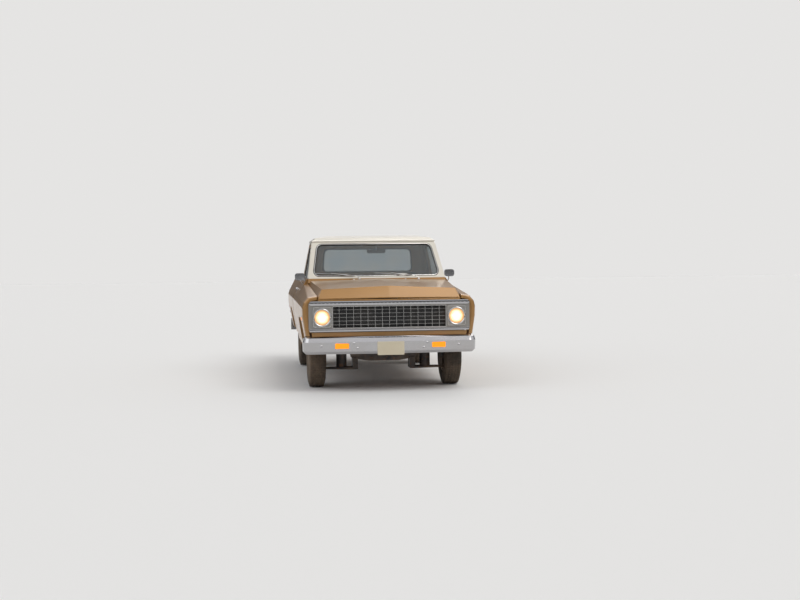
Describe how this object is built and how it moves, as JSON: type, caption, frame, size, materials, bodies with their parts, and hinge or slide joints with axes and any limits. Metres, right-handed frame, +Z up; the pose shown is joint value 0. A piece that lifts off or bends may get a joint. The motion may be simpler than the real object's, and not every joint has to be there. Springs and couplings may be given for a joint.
{
  "type": "pickup truck",
  "caption": "Half-ton pickup truck of the early 1970s: two-door cab, short straight-sided load bed, egg-crate grille, hinged hood, doors and tailgate, steered front wheels.",
  "frame": {"origin": "on the ground, under the middle of the truck's bounding box", "axes": "+X to the driver's (left) side, +Y from the nose to the tail, +Z up"},
  "size_m": [2.0149, 4.88, 1.7982],
  "materials": {
    "body_paint": "gloss ochre paint, dusty",
    "roof_paint": "gloss off-white paint",
    "chassis_black": "satin black chassis paint",
    "cast_metal": "raw cast housing",
    "engine_iron": "painted cast iron",
    "exhaust_steel": "dull steel tube",
    "bright_trim": "bright anodised",
    "grille_dark": "dark egg-crate mesh",
    "chrome": "bright chrome plate",
    "plate_paint": "blank plate",
    "lamp_glass": "clear sealed beam",
    "amber_lens": "amber lens",
    "red_lens": "red lens",
    "glass": "light grey-green tint",
    "interior_plastic": "dark padded trim",
    "seat_vinyl": "saddle vinyl",
    "tyre": "black rubber",
    "wheel_paint": "off-white steel wheel"
  },
  "bodies": {
    "truck_body": {"bed_inner": "body_paint", "bed_sides": "body_paint", "cab_glass": "glass", "cab_roof": "roof_paint", "cab_shell": "body_paint", "chassis_frame": "chassis_black", "dashboard": "interior_plastic", "driveline": "cast_metal", "engine_block": "engine_iron", "exhaust": "exhaust_steel", "front_bumper": "chrome", "front_fenders": "body_paint", "front_plate": "plate_paint", "front_suspension": "chassis_black", "grille": "grille_dark", "grille_surround": "bright_trim", "headlamps": "lamp_glass", "inner_fenders": "chassis_black", "parking_lamps": "amber_lens", "radiator": "chassis_black", "rear_axle": "chassis_black", "rear_bumper": "chrome", "seat_back": "seat_vinyl", "seat_cushion": "seat_vinyl", "steering_column": "interior_plastic", "tail_lamps": "red_lens"},
    "hood": {"hood_panel": "body_paint"},
    "driver_door": {"door_left": "body_paint", "door_glass_left": "glass", "mirror_left": "chrome"},
    "passenger_door": {"door_right": "body_paint", "door_glass_right": "glass", "mirror_right": "chrome"},
    "tail_gate": {"tailgate": "body_paint"},
    "steering_knuckle_left": {"knuckle_left": "chassis_black"},
    "steering_knuckle_right": {"knuckle_right": "chassis_black"},
    "front_wheel_left": {"tyre_front_left": "tyre", "wheel_front_left": "wheel_paint"},
    "front_wheel_right": {"tyre_front_right": "tyre", "wheel_front_right": "wheel_paint"},
    "rear_wheel_left": {"tyre_rear_left": "tyre", "wheel_rear_left": "wheel_paint"},
    "rear_wheel_right": {"tyre_rear_right": "tyre", "wheel_rear_right": "wheel_paint"},
    "hand_wheel": {"steering_wheel": "interior_plastic"}
  },
  "joints": [
    {"name": "hood_hinge", "type": "hinge", "parent": "truck_body", "child": "hood", "pos_m": [0, -1.152, 1.264], "axis": [-1, 0, 0], "range_deg": [0, 50]},
    {"name": "driver_door_hinge", "type": "hinge", "parent": "truck_body", "child": "driver_door", "pos_m": [1.003, -0.939, 0.9], "axis": [0, 0, -1], "range_deg": [0, 70]},
    {"name": "passenger_door_hinge", "type": "hinge", "parent": "truck_body", "child": "passenger_door", "pos_m": [-1.003, -0.939, 0.9], "axis": [0, 0, 1], "range_deg": [0, 70]},
    {"name": "tailgate_hinge", "type": "hinge", "parent": "truck_body", "child": "tail_gate", "pos_m": [0, 2.3045, 0.772], "axis": [-1, 0, 0], "range_deg": [0, 90]},
    {"name": "steer_left", "type": "hinge", "parent": "truck_body", "child": "steering_knuckle_left", "pos_m": [0.705, -1.595, 0.35], "axis": [0, 0, 1], "range_deg": [-30, 30]},
    {"name": "steer_right", "type": "hinge", "parent": "truck_body", "child": "steering_knuckle_right", "pos_m": [-0.705, -1.595, 0.35], "axis": [0, 0, 1], "range_deg": [-30, 30]},
    {"name": "hand_wheel_turn", "type": "hinge", "parent": "truck_body", "child": "hand_wheel", "pos_m": [0.395, -0.598, 1.168], "axis": [0, 0.8202, 0.5721], "range_deg": [-480, 480]},
    {"name": "spin_front_left", "type": "hinge", "parent": "steering_knuckle_left", "child": "front_wheel_left", "pos_m": [0.8, -1.595, 0.35], "axis": [1, 0, 0], "continuous": true},
    {"name": "spin_front_right", "type": "hinge", "parent": "steering_knuckle_right", "child": "front_wheel_right", "pos_m": [-0.8, -1.595, 0.35], "axis": [1, 0, 0], "continuous": true},
    {"name": "spin_rear_left", "type": "hinge", "parent": "truck_body", "child": "rear_wheel_left", "pos_m": [0.79, 1.326, 0.35], "axis": [1, 0, 0], "continuous": true},
    {"name": "spin_rear_right", "type": "hinge", "parent": "truck_body", "child": "rear_wheel_right", "pos_m": [-0.79, 1.326, 0.35], "axis": [1, 0, 0], "continuous": true}
  ],
  "couplings": [
    {"joint": "steer_right", "follows": "steer_left", "ratio": 1},
    {"joint": "hand_wheel_turn", "follows": "steer_left", "ratio": 16}
  ]
}
